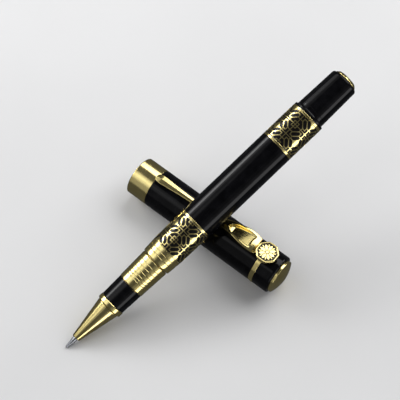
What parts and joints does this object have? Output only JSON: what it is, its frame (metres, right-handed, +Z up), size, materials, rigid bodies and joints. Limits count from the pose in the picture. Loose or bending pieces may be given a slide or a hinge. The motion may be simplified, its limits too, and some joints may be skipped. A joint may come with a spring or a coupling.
{
  "type": "rollerball pen",
  "caption": "Capped rollerball pen, uncapped and leaning across its cap, with a conical nose, ringed grip, fretwork bands and a spring clip.",
  "frame": {"origin": "middle of the footprint of the pen and cap together, on the surface they lie on", "axes": "+Z up; +X along the cap from its mouth to its domed end; +Y roughly from the pen's point to its tail"},
  "size_m": [0.061, 0.1174, 0.0447],
  "materials": {
    "gold": "polished",
    "black_lacquer": "gloss",
    "brass": "satin",
    "aluminium": "satin",
    "steel": "satin",
    "refill_plastic": "satin",
    "liner_plastic": "satin",
    "ink_fibre": "matte"
  },
  "bodies": {
    "cap": {"mouth_band": "gold", "cap_tube": "black_lacquer", "inner_cap": "liner_plastic", "clip_ring": "gold", "cap_end": "black_lacquer", "cap_dome": "gold", "cap_screw": "steel", "medallion": "gold", "medallion_rivet": "steel"},
    "clip": {"clip_arm": "gold"},
    "section": {"nose_cone": "gold", "nose_ring": "gold", "section_sleeve": "black_lacquer", "section_core": "brass", "section_grip": "gold"},
    "refill": {"refill_point": "steel", "refill_nose": "refill_plastic", "feed_rod": "ink_fibre", "refill_tube": "refill_plastic", "ink_reservoir": "ink_fibre", "refill_plug": "refill_plastic"},
    "ball": {"ball": "steel"},
    "spring": {"refill_spring": "steel"},
    "barrel": {"barrel_bush": "gold", "barrel_core": "aluminium", "front_band": "black_lacquer", "front_lattice": "gold", "front_ring": "gold", "barrel_tube": "black_lacquer", "rear_ring_front": "gold", "rear_band": "black_lacquer", "rear_lattice": "gold", "rear_ring_back": "gold", "shoulder_ring": "black_lacquer", "tail_tube": "black_lacquer", "tail_plug": "liner_plastic", "end_disc": "gold"}
  },
  "joints": [
    {"name": "clip_flex", "type": "hinge", "parent": "cap", "child": "clip", "pos_m": [0.02165, 0.00233, 0.014], "axis": [0, 0.9969, -0.0785], "range_deg": [0, 4], "stiffness_Nm_per_rad": 3},
    {"name": "pen_lift", "type": "slide", "parent": "clip", "child": "section", "axis": [0, 0, 1], "range_m": [0, 0.04]},
    {"name": "refill_press", "type": "slide", "parent": "section", "child": "refill", "axis": [0.1771, 0.9301, 0.3219], "range_m": [0, 0.0012], "stiffness_N_per_m": 250, "springref_m": -0.002, "deforming": ["refill_spring"]},
    {"name": "ball_roll", "type": "hinge", "parent": "refill", "child": "ball", "pos_m": [-0.01103, -0.05833, 0.00044], "axis": [0.9824, -0.187, 0], "continuous": true},
    {"name": "barrel_travel", "type": "slide", "parent": "section", "child": "spring", "axis": [0.1771, 0.9301, 0.3219], "range_m": [0, 0.005]},
    {"name": "barrel_turn", "type": "hinge", "parent": "spring", "child": "barrel", "pos_m": [-0.01103, -0.05833, 0.00044], "axis": [0.1771, 0.9301, 0.3219], "range_deg": [0, 1800]}
  ],
  "couplings": [
    {"joint": "barrel_turn", "follows": "barrel_travel", "rad_per_m": 6283}
  ]
}
